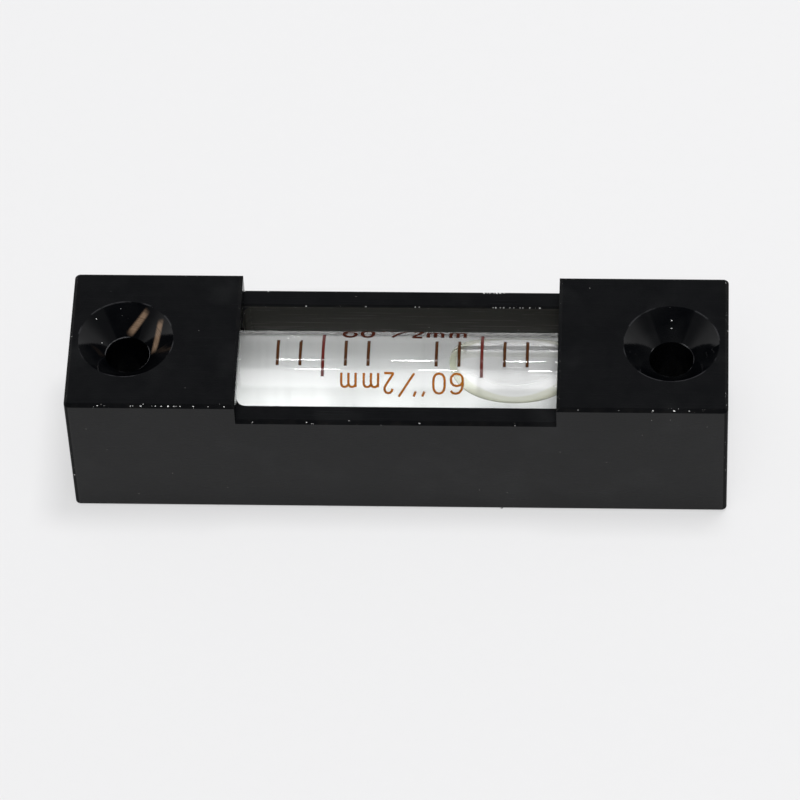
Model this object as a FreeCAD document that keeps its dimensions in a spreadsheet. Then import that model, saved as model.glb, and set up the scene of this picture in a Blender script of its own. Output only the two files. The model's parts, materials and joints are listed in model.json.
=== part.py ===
# Precision machinist level: a black aluminium block that carries one ground glass vial.
# Millimetres, +X along the block, +Z up, origin at the middle of the base.
import FreeCAD, Part
import math
import os
import Sketcher

doc = FreeCAD.newDocument("machinist_level")
sheet = doc.addObject("Spreadsheet::Sheet", "Sizes")

# Driving dimensions. The vial comes first, and the block is laid out round it.
DRIVING = {
    "vial_diameter": 9.5,
    "vial_length": 38.5,
    "vial_wall": 1.5,
    "tube_rim_chamfer": 0.25,
    "scale_value_arcsec": 60,
    "graduation_pitch": 2.0,
    "first_graduation": 3.0,
    "line_width": 0.2,
    "line_thickness": 0.04,
    "short_line_angle": 34.4,
    "long_line_angle": 58.2,
    "plug_length": 2.0,
    "plug_gap": 0.15,
    "cement_cap": 0.5,
    "bubble_length": 11.2,
    "bubble_depth": 1.95,
    "bubble_belly": 0.18,
    "bubble_end_gap": 1.3,
    "bubble_film": 0.1,
    "lens_rise": 2.0,
    "seat_offset": 0.35,
    "seat_side_gap": 0.2,
    "seat_top_gap": 0.15,
    "seat_end_gap": 0.75,
    "seat_corner": 1.5,
    "bed_thickness": 3.15,
    "bed_recess": 0.3,
    "roof_thickness": 1.4,
    "middle_length": 28.1,
    "middle_drop": 2.1,
    "window_length": 28.8,
    "window_side_gap": 0.8,
    "window_corner": 0.8,
    "window_chamfer": 0.2,
    "rail_width": 1.95,
    "hole_diameter": 3.9,
    "countersink_diameter": 8.4,
    "countersink_angle": 90,
    "hole_web": 2.05,
    "end_margin": 0.8,
    "corner_radius": 0.5,
    "edge_chamfer": 0.3,
}

# Sizes that follow from the driving ones, so that every fit stays a fit.
FOLLOWING = {
    "vial_radius": "=vial_diameter / 2",
    "bore_radius": "=vial_radius - vial_wall",
    "barrel_radius": "=graduation_pitch / (scale_value_arcsec / 3600 * pi / 180)",
    "bore_end_radius": "=bore_radius - (vial_length / 2)^2 / (2 * barrel_radius)",
    "plug_radius": "=bore_end_radius - plug_gap",
    "cavity_length": "=vial_length - 2 * (cement_cap + plug_length)",
    "liquid_radius": "=bore_radius - (cavity_length / 2)^2 / (2 * barrel_radius)",
    "axis_height": "=bed_recess + bed_thickness + vial_radius",
    "seat_width": "=vial_diameter + 2 * seat_side_gap",
    "seat_length": "=vial_length + 2 * seat_end_gap",
    "seat_ceiling": "=axis_height + vial_radius + seat_top_gap",
    "block_height": "=seat_ceiling + roof_thickness",
    "middle_height": "=block_height - middle_drop",
    "window_width": "=vial_diameter + 2 * window_side_gap",
    "block_width": "=window_width + 2 * rail_width",
    "hole_pitch": "=seat_length + 2 * hole_web + hole_diameter",
    "block_length": "=hole_pitch + countersink_diameter + 2 * end_margin",
    "track_level": "=bore_radius - bubble_depth - bubble_film",
    "film_radius": "=bore_radius - bubble_film",
    "bubble_place": "=seat_offset + cavity_length / 2 - bubble_end_gap - bubble_length / 2",
    "bubble_side": "=sqrt(film_radius^2 - (bore_radius - bubble_depth + bubble_belly)^2)",
    "lens_height": "=bubble_depth + lens_rise",
    "lens_half_length": "=bubble_length / 2 / sqrt(1 - ((lens_rise + bubble_film) / lens_height)^2)",
    "lens_half_width": "=bubble_side / sqrt(1 - ((lens_height - bubble_belly) / lens_height)^2)",
}

row = 0
for table in (DRIVING, FOLLOWING):
    for alias, content in table.items():
        row += 1
        sheet.set("A%d" % row, alias)
        sheet.set("B%d" % row, str(content))
        sheet.setAlias("B%d" % row, alias)
doc.recompute()


def size(alias):
    """The value of one cell of the sheet, in millimetres or degrees."""
    return float(getattr(sheet, alias))


def bind(feature, prop, formula):
    """Ties a property to the sheet. Aliases in the formula are written as Sizes.alias."""
    feature.setExpression(prop, formula)


def new_body(label):
    """A body whose label is the name of the piece."""
    body = doc.addObject("PartDesign::Body", label)
    body.Label = label
    return body


def new_sketch(body, name, role, height=None, along=None):
    """A sketch on one of the body's own planes, raised and shifted by formulas if they are given."""
    sketch = body.newObject("Sketcher::SketchObject", name)
    plane = [item for item in body.Origin.OriginFeatures if item.Role == role][0]
    sketch.AttachmentSupport = (plane, "")
    sketch.MapMode = "FlatFace"
    if height:
        bind(sketch, "AttachmentOffset.Base.z", height)
    if along:
        bind(sketch, "AttachmentOffset.Base.x", along)
    return sketch


def dimension(sketch, name, formula, kind, *where):
    """Adds one named dimension to a sketch and ties it to the sheet."""
    index = sketch.addConstraint(Sketcher.Constraint(kind, *where))
    sketch.renameConstraint(index, name)
    bind(sketch, "Constraints." + name, formula)


def draw_loop(sketch, corners):
    """Lines from corner to corner and back to the first, joined end to end."""
    count = len(corners)
    lines = []
    for place in range(count):
        start = FreeCAD.Vector(*corners[place], 0)
        end = FreeCAD.Vector(*corners[(place + 1) % count], 0)
        lines.append(sketch.addGeometry(Part.LineSegment(start, end)))
    for place in range(count):
        following = lines[(place + 1) % count]
        sketch.addConstraint(Sketcher.Constraint("Coincident", lines[place], 2, following, 1))
    return lines


def draw_box(sketch, left, right, low, high):
    """A rectangle of joined lines in the order bottom, right, top, left."""
    lines = draw_loop(sketch, [(left, low), (right, low), (right, high), (left, high)])
    for place in (0, 2):
        sketch.addConstraint(Sketcher.Constraint("Horizontal", lines[place]))
        sketch.addConstraint(Sketcher.Constraint("Vertical", lines[place + 1]))
    return lines


def draw_centred_box(sketch, wide, deep, wide_formula, deep_formula):
    """A rectangle about the origin, tied to its two formulas."""
    lines = draw_box(sketch, -wide / 2, wide / 2, -deep / 2, deep / 2)
    sketch.addConstraint(Sketcher.Constraint("Symmetric", lines[0], 1, lines[2], 1, -1, 1))
    dimension(sketch, "wide", wide_formula, "DistanceX", lines[0], 1, lines[0], 2, wide)
    dimension(sketch, "deep", deep_formula, "DistanceY", lines[1], 1, lines[1], 2, deep)


def draw_rounded_box(sketch, wide_alias, deep_alias, corner_alias):
    """A rectangle about the origin with four equal round corners."""
    wide = size(wide_alias) / 2
    deep = size(deep_alias) / 2
    corner = size(corner_alias)
    across = wide - corner
    along = deep - corner
    ends = [
        ((-across, -deep), (across, -deep)),
        ((wide, -along), (wide, along)),
        ((across, deep), (-across, deep)),
        ((-wide, along), (-wide, -along)),
    ]
    centres = [(across, -along), (across, along), (-across, along), (-across, -along)]
    lines = []
    arcs = []
    for place in range(4):
        start, end = ends[place]
        line = Part.LineSegment(FreeCAD.Vector(*start, 0), FreeCAD.Vector(*end, 0))
        lines.append(sketch.addGeometry(line))
        circle = Part.Circle(FreeCAD.Vector(*centres[place], 0), FreeCAD.Vector(0, 0, 1), corner)
        first = math.radians(90 * (place - 1))
        arcs.append(sketch.addGeometry(Part.ArcOfCircle(circle, first, first + math.pi / 2)))
    for place in range(4):
        sketch.addConstraint(Sketcher.Constraint("Tangent", lines[place], 2, arcs[place], 1))
        sketch.addConstraint(Sketcher.Constraint("Tangent", arcs[place], 2, lines[(place + 1) % 4], 1))
    for place in (0, 2):
        sketch.addConstraint(Sketcher.Constraint("Horizontal", lines[place]))
        sketch.addConstraint(Sketcher.Constraint("Vertical", lines[place + 1]))
    for place in (1, 2, 3):
        sketch.addConstraint(Sketcher.Constraint("Equal", arcs[0], arcs[place]))
    sketch.addConstraint(Sketcher.Constraint("Symmetric", arcs[0], 3, arcs[2], 3, -1, 1))
    dimension(sketch, "corner", "Sizes." + corner_alias, "Radius", arcs[0], corner)
    dimension(sketch, "wide", "Sizes." + wide_alias, "DistanceX", lines[3], 1, lines[1], 1, 2 * wide)
    dimension(sketch, "deep", "Sizes." + deep_alias, "DistanceY", lines[0], 1, lines[2], 1, 2 * deep)


def pad(body, sketch, name, formula):
    """Raises a sketch along its normal."""
    feature = body.newObject("PartDesign::Pad", name)
    feature.Profile = sketch
    bind(feature, "Length", formula)
    doc.recompute()
    return feature


def pocket(body, sketch, name, formula, reverse=False, both_ways=False):
    """Cuts a sketch out of the body and makes sure that the cut took something away."""
    before = body.Shape.Volume
    feature = body.newObject("PartDesign::Pocket", name)
    feature.Profile = sketch
    feature.Reversed = reverse
    feature.Midplane = both_ways
    bind(feature, "Length", formula)
    doc.recompute()
    if not body.Shape.Volume < before:
        raise RuntimeError(name + " cuts nothing")
    return feature


def edges_where(shape, test):
    """Names of the edges whose bounding box passes the test."""
    return ["Edge%d" % (place + 1) for place, edge in enumerate(shape.Edges) if test(edge.BoundBox)]


def near(first, second):
    """True for two lengths that are the same within a micron."""
    return abs(first - second) < 0.001


# Housing. One block, rounded at its four upright corners and lowered in the middle.
def make_housing():
    body = new_body("housing")
    outline = new_sketch(body, "BlockOutline", "XY_Plane")
    draw_rounded_box(outline, "block_length", "block_width", "corner_radius")
    pad(body, outline, "Block", "Sizes.block_height")

    lowered = new_sketch(body, "LoweredMiddle", "XY_Plane", "Sizes.block_height")
    across = 2 * size("block_width")
    draw_centred_box(lowered, size("middle_length"), across, "Sizes.middle_length", "2 * Sizes.block_width")
    pocket(body, lowered, "MiddleCut", "Sizes.middle_drop")

    # The seat is milled from below and runs on under both raised ends.
    # Like all that is milled from below, it lies a little off the middle of the block.
    seat = new_sketch(body, "SeatOutline", "XY_Plane", along="Sizes.seat_offset")
    draw_rounded_box(seat, "seat_length", "seat_width", "seat_corner")
    pocket(body, seat, "Seat", "Sizes.seat_ceiling", reverse=True)

    # The window widens the seat above the axis of the vial, and opens where the middle is lowered.
    window = new_sketch(body, "WindowOutline", "XY_Plane", "Sizes.axis_height", "Sizes.seat_offset")
    draw_rounded_box(window, "window_length", "window_width", "window_corner")
    pocket(body, window, "Window", "Sizes.seat_ceiling - Sizes.axis_height", reverse=True)

    # Two countersunk screw holes go right through, one in each raised end.
    centres = new_sketch(body, "HoleCentres", "XY_Plane", "Sizes.block_height")
    for name, side in (("left", -1), ("right", 1)):
        middle = FreeCAD.Vector(side * size("hole_pitch") / 2, 0, 0)
        circle = Part.Circle(middle, FreeCAD.Vector(0, 0, 1), size("hole_diameter") / 2)
        index = centres.addGeometry(circle)
        centres.addConstraint(Sketcher.Constraint("PointOnObject", index, 3, -1))
        dimension(centres, name + "_width", "Sizes.hole_diameter", "Diameter", index, size("hole_diameter"))
        formula = "%d * Sizes.hole_pitch / 2" % side
        dimension(centres, name, formula, "DistanceX", -1, 1, index, 3, side * size("hole_pitch") / 2)
    doc.recompute()
    before = body.Shape.Volume
    holes = body.newObject("PartDesign::Hole", "ScrewHoles")
    holes.Profile = centres
    doc.recompute()
    holes.ThreadType = "None"
    holes.DepthType = "ThroughAll"
    holes.HoleCutType = "Countersink"
    holes.HoleCutCustomValues = True
    bind(holes, "Diameter", "Sizes.hole_diameter")
    bind(holes, "HoleCutDiameter", "Sizes.countersink_diameter")
    bind(holes, "HoleCutCountersinkAngle", "Sizes.countersink_angle")
    doc.recompute()
    if not body.Shape.Volume < before:
        raise RuntimeError("the screw holes cut nothing")

    # Outer edges of the base, of the two raised ends and of the two rails.
    length = size("block_length")
    width = size("block_width")
    levels = (0, size("middle_height"), size("block_height"))

    def outer(box):
        level = box.ZLength < 0.001 and any(near(box.ZMin, height) for height in levels)
        side = near(box.YMin, width / 2) or near(box.YMax, -width / 2)
        end = near(box.XMin, length / 2) or near(box.XMax, -length / 2)
        reach = max(box.XMax, -box.XMin)
        corner = near(box.XLength, box.YLength) and near(reach, length / 2)
        step = near(box.ZMin, levels[2]) and box.XLength < 0.001
        return level and (side or end or corner or step)

    base = body.Tip
    chamfer = body.newObject("PartDesign::Chamfer", "OuterChamfer")
    chamfer.Base = (base, edges_where(base.Shape, outer))
    bind(chamfer, "Size", "Sizes.edge_chamfer")
    doc.recompute()

    # The long edges of the window are broken by a chamfer of their own.
    rim = new_sketch(body, "WindowRim", "YZ_Plane")
    top = size("middle_height")
    low = top - size("window_chamfer")
    inner = size("window_width") / 2
    wide = inner + size("window_chamfer")
    lines = draw_loop(rim, [(-inner, low), (inner, low), (wide, top), (-wide, top)])
    rim.addConstraint(Sketcher.Constraint("Symmetric", lines[0], 1, lines[0], 2, -2))
    rim.addConstraint(Sketcher.Constraint("Symmetric", lines[2], 1, lines[2], 2, -2))
    dimension(rim, "inner", "Sizes.window_width", "DistanceX", lines[0], 1, lines[0], 2, 2 * inner)
    outer_formula = "Sizes.window_width + 2 * Sizes.window_chamfer"
    dimension(rim, "outer", outer_formula, "DistanceX", lines[2], 2, lines[2], 1, 2 * wide)
    dimension(rim, "top", "Sizes.middle_height", "DistanceY", -1, 1, lines[2], 1, top)
    low_formula = "Sizes.middle_height - Sizes.window_chamfer"
    dimension(rim, "low", low_formula, "DistanceY", -1, 1, lines[0], 1, low)
    pocket(body, rim, "WindowRimChamfer", "Sizes.middle_length", both_ways=True)
    return body


def place_on_vial_axis(body, turned=False):
    """Moves a body drawn about its own X axis to the axis of the vial, end for end if asked."""
    if turned:
        body.Placement.Rotation = FreeCAD.Rotation(FreeCAD.Vector(0, 0, 1), 180)
    bind(body, "Placement.Base.x", "Sizes.seat_offset")
    bind(body, "Placement.Base.z", "Sizes.axis_height")


def revolve(body, sketch, name, angle=None):
    """Turns a sketch round its own level axis, right round or by an angle shared by both sides."""
    feature = body.newObject("PartDesign::Revolution", name)
    feature.Profile = sketch
    feature.ReferenceAxis = (sketch, ["H_Axis"])
    if angle:
        feature.Midplane = True
        bind(feature, "Angle", angle)
    else:
        feature.Angle = 360
    doc.recompute()
    return feature


# Vial tube. Drawn glass whose bore is ground and lapped to a barrel.
# The radius of the barrel sets the sensitivity: one division for each arc minute of tilt.
def make_vial_tube():
    body = new_body("vial_tube")
    section = new_sketch(body, "TubeSection", "XZ_Plane")
    half = size("vial_length") / 2
    outer = size("vial_radius")
    crown = size("bore_radius")
    barrel = size("barrel_radius")

    # The bore is an arc of very long radius, widest at the middle of the vial.
    sweep = math.asin(half / barrel)
    end = crown - barrel + barrel * math.cos(sweep)
    centre = FreeCAD.Vector(0, crown - barrel, 0)
    circle = Part.Circle(centre, FreeCAD.Vector(0, 0, 1), barrel)
    arc = section.addGeometry(Part.ArcOfCircle(circle, math.pi / 2 - sweep, math.pi / 2 + sweep))
    points = [(-half, end), (-half, outer), (half, outer), (half, end)]
    sides = []
    for place in range(3):
        start = FreeCAD.Vector(*points[place], 0)
        finish = FreeCAD.Vector(*points[place + 1], 0)
        sides.append(section.addGeometry(Part.LineSegment(start, finish)))
    left, outside, right = sides
    section.addConstraint(Sketcher.Constraint("Coincident", left, 2, outside, 1))
    section.addConstraint(Sketcher.Constraint("Coincident", outside, 2, right, 1))
    section.addConstraint(Sketcher.Constraint("Coincident", right, 2, arc, 1))
    section.addConstraint(Sketcher.Constraint("Coincident", arc, 2, left, 1))
    section.addConstraint(Sketcher.Constraint("Vertical", left))
    section.addConstraint(Sketcher.Constraint("Vertical", right))
    section.addConstraint(Sketcher.Constraint("Symmetric", outside, 1, outside, 2, -2))
    section.addConstraint(Sketcher.Constraint("PointOnObject", arc, 3, -2))
    dimension(section, "length", "Sizes.vial_length", "DistanceX", outside, 1, outside, 2, 2 * half)
    dimension(section, "barrel", "Sizes.barrel_radius", "Radius", arc, barrel)
    crown_formula = "Sizes.bore_radius - Sizes.barrel_radius"
    dimension(section, "crown", crown_formula, "DistanceY", -1, 1, arc, 3, crown - barrel)
    dimension(section, "outer", "Sizes.vial_radius", "DistanceY", -1, 1, outside, 1, outer)
    revolve(body, section, "Tube")

    # The rims of the two ends are ground off a little.
    def outer_rim(box):
        return box.XLength < 0.001 and near(box.ZMax, outer)

    base = body.Tip
    ends = body.newObject("PartDesign::Chamfer", "GroundRims")
    ends.Base = (base, edges_where(base.Shape, outer_rim))
    bind(ends, "Size", "Sizes.tube_rim_chamfer")
    place_on_vial_axis(body)
    return body


# End plug. A ground glass disc that sits a little way inside each end of the tube.
def make_end_plug(label, turned):
    body = new_body(label)
    section = new_sketch(body, label + "_section", "XZ_Plane")
    near_end = size("cavity_length") / 2
    far_end = near_end + size("plug_length")
    lines = draw_box(section, near_end, far_end, 0, size("plug_radius"))
    section.addConstraint(Sketcher.Constraint("PointOnObject", lines[0], 1, -1))
    dimension(section, "place", "Sizes.cavity_length / 2", "DistanceX", -1, 1, lines[0], 1, near_end)
    dimension(section, "long", "Sizes.plug_length", "DistanceX", lines[0], 1, lines[0], 2, far_end - near_end)
    radius = size("plug_radius")
    dimension(section, "radius", "Sizes.plug_radius", "DistanceY", lines[1], 1, lines[1], 2, radius)
    revolve(body, section, label + "_disc")
    place_on_vial_axis(body, turned)
    return body


# Plug cement. It fills the gap round the plug and the recess over it, flush with the tube's end.
def make_plug_cement(label, turned):
    body = new_body(label)
    section = new_sketch(body, label + "_section", "XZ_Plane")
    start = size("cavity_length") / 2
    cover = start + size("plug_length")
    end = size("vial_length") / 2
    bore = size("bore_end_radius")
    plug = size("plug_radius")
    points = [(start, plug), (cover, plug), (cover, 0), (end, 0), (end, bore), (start, bore)]
    lines = draw_loop(section, points)
    for place in (0, 2, 4):
        section.addConstraint(Sketcher.Constraint("Horizontal", lines[place]))
        section.addConstraint(Sketcher.Constraint("Vertical", lines[place + 1]))
    section.addConstraint(Sketcher.Constraint("PointOnObject", lines[2], 1, -1))
    dimension(section, "start", "Sizes.cavity_length / 2", "DistanceX", -1, 1, lines[0], 1, start)
    dimension(section, "along", "Sizes.plug_length", "DistanceX", lines[0], 1, lines[0], 2, cover - start)
    dimension(section, "cap", "Sizes.cement_cap", "DistanceX", lines[2], 1, lines[2], 2, end - cover)
    dimension(section, "plug", "Sizes.plug_radius", "DistanceY", -1, 1, lines[0], 1, plug)
    dimension(section, "bore", "Sizes.bore_end_radius", "DistanceY", lines[3], 1, lines[3], 2, bore)
    revolve(body, section, label + "_ring")
    place_on_vial_axis(body, turned)
    return body


# Spirit. It fills the vial between the plugs up to a flat level.
# It is a straight filling, as wide as the bore is at the plugs.
# The bubble has the space above that level to travel in.
def make_vial_liquid():
    body = new_body("vial_liquid")
    section = new_sketch(body, "LiquidSection", "XZ_Plane")
    end = size("cavity_length") / 2
    radius = size("liquid_radius")
    lines = draw_box(section, -end, end, 0, radius)
    section.addConstraint(Sketcher.Constraint("PointOnObject", lines[0], 1, -1))
    dimension(section, "right", "Sizes.cavity_length / 2", "DistanceX", -1, 1, lines[0], 2, end)
    dimension(section, "long", "Sizes.cavity_length", "DistanceX", lines[0], 1, lines[0], 2, 2 * end)
    dimension(section, "radius", "Sizes.liquid_radius", "DistanceY", lines[1], 1, lines[1], 2, radius)
    revolve(body, section, "Filling")

    track = new_sketch(body, "TrackOutline", "XZ_Plane")
    level = size("track_level")
    high = level + size("vial_diameter")
    half = size("vial_length")
    lines = draw_box(track, -half, half, level, high)
    dimension(track, "right", "Sizes.vial_length", "DistanceX", -1, 1, lines[0], 2, half)
    dimension(track, "long", "2 * Sizes.vial_length", "DistanceX", lines[0], 1, lines[0], 2, 2 * half)
    dimension(track, "level", "Sizes.track_level", "DistanceY", -1, 1, lines[0], 1, level)
    dimension(track, "high", "Sizes.vial_diameter", "DistanceY", lines[1], 1, lines[1], 2, high - level)
    pocket(body, track, "Track", "2 * Sizes.vial_diameter", both_ways=True)
    place_on_vial_axis(body)
    return body


# Bubble. A long lens of vapour that lies against the top of the bore.
# Its upper side follows the bore, and its lower side is the curved face of the spirit.
def make_bubble():
    lens = doc.addObject("Part::Ellipsoid", "BubbleLens")
    bind(lens, "Radius1", "Sizes.lens_height")
    bind(lens, "Radius2", "Sizes.lens_half_length")
    bind(lens, "Radius3", "Sizes.lens_half_width")
    bind(lens, "Placement.Base.x", "Sizes.bubble_place")
    bind(lens, "Placement.Base.z", "Sizes.axis_height + Sizes.bore_radius + Sizes.lens_rise")

    bore = doc.addObject("Part::Cylinder", "BubbleBore")
    bore.Placement.Rotation = FreeCAD.Rotation(FreeCAD.Vector(0, 1, 0), 90)
    bind(bore, "Radius", "Sizes.film_radius")
    bind(bore, "Height", "2 * Sizes.bubble_length")
    bind(bore, "Placement.Base.x", "Sizes.bubble_place - Sizes.bubble_length")
    bind(bore, "Placement.Base.z", "Sizes.axis_height")

    bubble = doc.addObject("Part::Common", "bubble")
    bubble.Base = lens
    bubble.Tool = bore
    bubble.Label = "bubble"
    doc.recompute()
    return bubble


# Plaster bed. Cast into the seat from below with the vial in place, level with the vial's axis.
# It stops a little short of the base, so that the block rests on metal.
def make_plaster_bed():
    body = new_body("plaster_bed")
    outline = new_sketch(body, "BedOutline", "XY_Plane", "Sizes.bed_recess", "Sizes.seat_offset")
    draw_rounded_box(outline, "seat_length", "seat_width", "seat_corner")
    pad(body, outline, "BedBlock", "Sizes.axis_height - Sizes.bed_recess")

    hollow = new_sketch(body, "VialHollow", "XZ_Plane", along="Sizes.seat_offset")
    bind(hollow, "AttachmentOffset.Base.y", "Sizes.axis_height")
    half = size("vial_length") / 2
    lines = draw_box(hollow, -half, half, 0, size("vial_radius"))
    hollow.addConstraint(Sketcher.Constraint("PointOnObject", lines[0], 1, -1))
    dimension(hollow, "right", "Sizes.vial_length / 2", "DistanceX", -1, 1, lines[0], 2, half)
    dimension(hollow, "long", "Sizes.vial_length", "DistanceX", lines[0], 1, lines[0], 2, 2 * half)
    radius = size("vial_radius")
    dimension(hollow, "radius", "Sizes.vial_radius", "DistanceY", lines[1], 1, lines[1], 2, radius)
    before = body.Shape.Volume
    groove = body.newObject("PartDesign::Groove", "VialGroove")
    groove.Profile = hollow
    groove.ReferenceAxis = (hollow, ["H_Axis"])
    groove.Angle = 360
    doc.recompute()
    if not body.Shape.Volume < before:
        raise RuntimeError("the vial's hollow cuts nothing")
    return body


# Graduation lines. Baked colour on the crown of the vial, each a narrow band round part of it.
def make_graduations(label, places, angle):
    body = new_body(label)
    body.AllowCompound = True
    section = new_sketch(body, label + "_section", "XZ_Plane")
    width = size("line_width")
    low = size("vial_radius")
    high = low + size("line_thickness")
    for side in (-1, 1):
        for place in places:
            middle = side * (size("first_graduation") + place * size("graduation_pitch"))
            lines = draw_box(section, middle - width / 2, middle + width / 2, low, high)
            name = "%s_%d_" % ("left" if side < 0 else "right", place)
            middle_formula = "%d * (Sizes.first_graduation + %d * Sizes.graduation_pitch)" % (side, place)
            left_formula = middle_formula + " - Sizes.line_width / 2"
            left = middle - width / 2
            dimension(section, name + "left", left_formula, "DistanceX", -1, 1, lines[0], 1, left)
            wide = "Sizes.line_width"
            dimension(section, name + "wide", wide, "DistanceX", lines[0], 1, lines[0], 2, width)
            dimension(section, name + "low", "Sizes.vial_radius", "DistanceY", -1, 1, lines[0], 1, low)
            thick = "Sizes.line_thickness"
            dimension(section, name + "thick", thick, "DistanceY", lines[1], 1, lines[1], 2, high - low)
    revolve(body, section, label + "_bands", angle)
    place_on_vial_axis(body)
    return body


pieces = [
    make_housing(),
    make_vial_tube(),
    make_end_plug("left_end_plug", True),
    make_end_plug("right_end_plug", False),
    make_plug_cement("left_plug_cement", True),
    make_plug_cement("right_plug_cement", False),
    make_vial_liquid(),
    make_bubble(),
    make_plaster_bed(),
    make_graduations("short_graduations", (0, 1, 3, 4), "Sizes.short_line_angle"),
    make_graduations("long_graduations", (2,), "Sizes.long_line_angle"),
]
doc.recompute()

for item in doc.Objects:
    if "Invalid" in item.State or "Error" in item.State:
        raise RuntimeError(item.Name + " failed to compute")
for piece in pieces:
    if piece.Shape.isNull() or not piece.Shape.isValid():
        raise RuntimeError(piece.Label + " has no valid shape")

os.makedirs("parts", exist_ok=True)
for piece in pieces:
    piece.Shape.exportStep("parts/" + piece.Label + ".step")
    print("%-18s %2d solids %9.2f mm3" % (piece.Label, len(piece.Shape.Solids), piece.Shape.Volume))
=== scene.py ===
"""Looks of a small machinist's level: a black anodised block with a ground glass vial in its middle."""
import json
import math

import bmesh
import bpy
from mathutils import Matrix, Vector

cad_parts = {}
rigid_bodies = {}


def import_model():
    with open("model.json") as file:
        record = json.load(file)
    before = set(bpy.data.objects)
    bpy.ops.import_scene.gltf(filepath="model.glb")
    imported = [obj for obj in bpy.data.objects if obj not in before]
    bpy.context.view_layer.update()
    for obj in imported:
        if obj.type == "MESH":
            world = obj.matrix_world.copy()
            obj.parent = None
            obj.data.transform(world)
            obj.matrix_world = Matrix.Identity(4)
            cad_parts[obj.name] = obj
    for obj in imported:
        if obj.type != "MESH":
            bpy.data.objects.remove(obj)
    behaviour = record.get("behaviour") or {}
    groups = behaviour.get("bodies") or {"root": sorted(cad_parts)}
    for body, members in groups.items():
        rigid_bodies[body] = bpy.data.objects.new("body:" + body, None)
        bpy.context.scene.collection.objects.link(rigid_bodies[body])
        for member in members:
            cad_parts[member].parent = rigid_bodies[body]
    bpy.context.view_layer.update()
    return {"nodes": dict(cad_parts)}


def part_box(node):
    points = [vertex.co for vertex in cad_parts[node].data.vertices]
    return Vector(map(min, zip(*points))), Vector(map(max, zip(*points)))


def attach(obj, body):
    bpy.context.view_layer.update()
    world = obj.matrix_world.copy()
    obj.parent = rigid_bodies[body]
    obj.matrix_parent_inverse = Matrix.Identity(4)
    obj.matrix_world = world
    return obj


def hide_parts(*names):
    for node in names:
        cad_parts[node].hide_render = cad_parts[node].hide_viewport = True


for left_over in list(bpy.data.objects):
    bpy.data.objects.remove(left_over)
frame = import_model()


# Housing. One block of aluminium with a lowered middle, a window and two countersunk screw holes.
# It is milled and drilled, its outer edges are broken by a small chamfer, and it is anodised black all over.
# The window's front and rear walls are lighter and browner. The dye is thinner on the edges, where bare nicks
# shine, and a little dust lies about.
# Two tan streaks in the left countersink and thin light lines round the rims of the countersinks and bores
# are painted highlights.
MM = 0.001
HOLE_PLACES = (-24 * MM, 24 * MM)
COUNTERSINK_RADIUS = 4.2 * MM
DYE_DARK = (0.0008, 0.0010, 0.0015, 1)
DYE_LIGHT = (0.0020, 0.0022, 0.0027, 1)
HAZE = (0.0080, 0.0084, 0.0088, 1)
EDGE_DYE = (0.0050, 0.0048, 0.0046, 1)
CONE_PAINTED_HIGHLIGHT = (0.190, 0.128, 0.085, 1)
CONE_HIGHLIGHT_STREAKS = (((1.72, 3.51), (-0.09, 2.04), 0.36), ((2.94, 2.53), (2.30, -0.17), 0.38))
RIM_GLINTS = ((COUNTERSINK_RADIUS / MM, 14.5, (0.020, 0.020, 0.022, 1)), (1.95, 12.25, (0.070, 0.070, 0.074, 1)))
WINDOW_WALL_TONE = (0.0320, 0.0315, 0.0270, 1)
WINDOW_MIDDLE = 0.35
WINDOW_HALF = (14.44, 5.58)
BARE_METAL = (0.62, 0.61, 0.60, 1)
DUST = (0.22, 0.21, 0.20, 1)


def open_material(name):
    """A new material with an empty tree, its output, and the surface's place in millimetres."""
    material = bpy.data.materials.new(name)
    material.use_nodes = True
    tree = material.node_tree
    tree.nodes.clear()
    output = tree.nodes.new("ShaderNodeOutputMaterial")
    place = tree.nodes.new("ShaderNodeTexCoord").outputs["Object"]
    millimetres = stretch(tree, place, (1000, 1000, 1000))
    return material, tree, output, millimetres


def add(tree, kind, sockets=None, **settings):
    """A node of that kind, with its sockets linked or set."""
    made = tree.nodes.new(kind)
    for key, value in settings.items():
        setattr(made, key, value)
    for key, value in (sockets or {}).items():
        if isinstance(value, bpy.types.NodeSocket):
            tree.links.new(value, made.inputs[key])
        else:
            made.inputs[key].default_value = value
    return made


def vector_of(tree, operation, a, b=None):
    """One step of arithmetic on vectors: a vector, or a number for a length, a distance or a product."""
    sockets = {0: a} if b is None else {0: a, 1: b}
    made = add(tree, "ShaderNodeVectorMath", sockets, operation=operation)
    return made.outputs["Value" if operation in ("LENGTH", "DISTANCE", "DOT_PRODUCT") else "Vector"]


def stretch(tree, vector, by):
    """The vector times by, axis by axis."""
    return vector_of(tree, "MULTIPLY", vector, by)


def math_of(tree, operation, a, b=0.0, clamp=False):
    """One step of arithmetic on two numbers or sockets."""
    return add(tree, "ShaderNodeMath", {0: a, 1: b}, operation=operation, use_clamp=clamp).outputs[0]


def noise(tree, vector, scale=1.0, detail=2.0, roughness=0.5):
    """Soft random values from 0 to 1, about scale features in a millimetre."""
    sockets = {"Vector": vector, "Scale": scale, "Detail": detail, "Roughness": roughness}
    return add(tree, "ShaderNodeTexNoise", sockets).outputs["Fac"]


def fade(tree, value, low, high, out_low=0.0, out_high=1.0):
    """value from low to high becomes out_low to out_high, smoothly and held at both ends."""
    sockets = {"Value": value, 1: low, 2: high, 3: out_low, 4: out_high}
    return add(tree, "ShaderNodeMapRange", sockets, interpolation_type="SMOOTHSTEP").outputs[0]


def mix(tree, amount, a, b):
    """Colour a going to colour b."""
    made = add(tree, "ShaderNodeMix", {0: amount}, data_type="RGBA")
    for key, value in ((6, a), (7, b)):
        if isinstance(value, bpy.types.NodeSocket):
            tree.links.new(value, made.inputs[key])
        else:
            made.inputs[key].default_value = value
    return made.outputs[2]


def dress(node, material):
    """A CAD node keeps its mesh and takes the material."""
    slots = frame["nodes"][node].material_slots
    for each in slots:
        each.material = material


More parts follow.
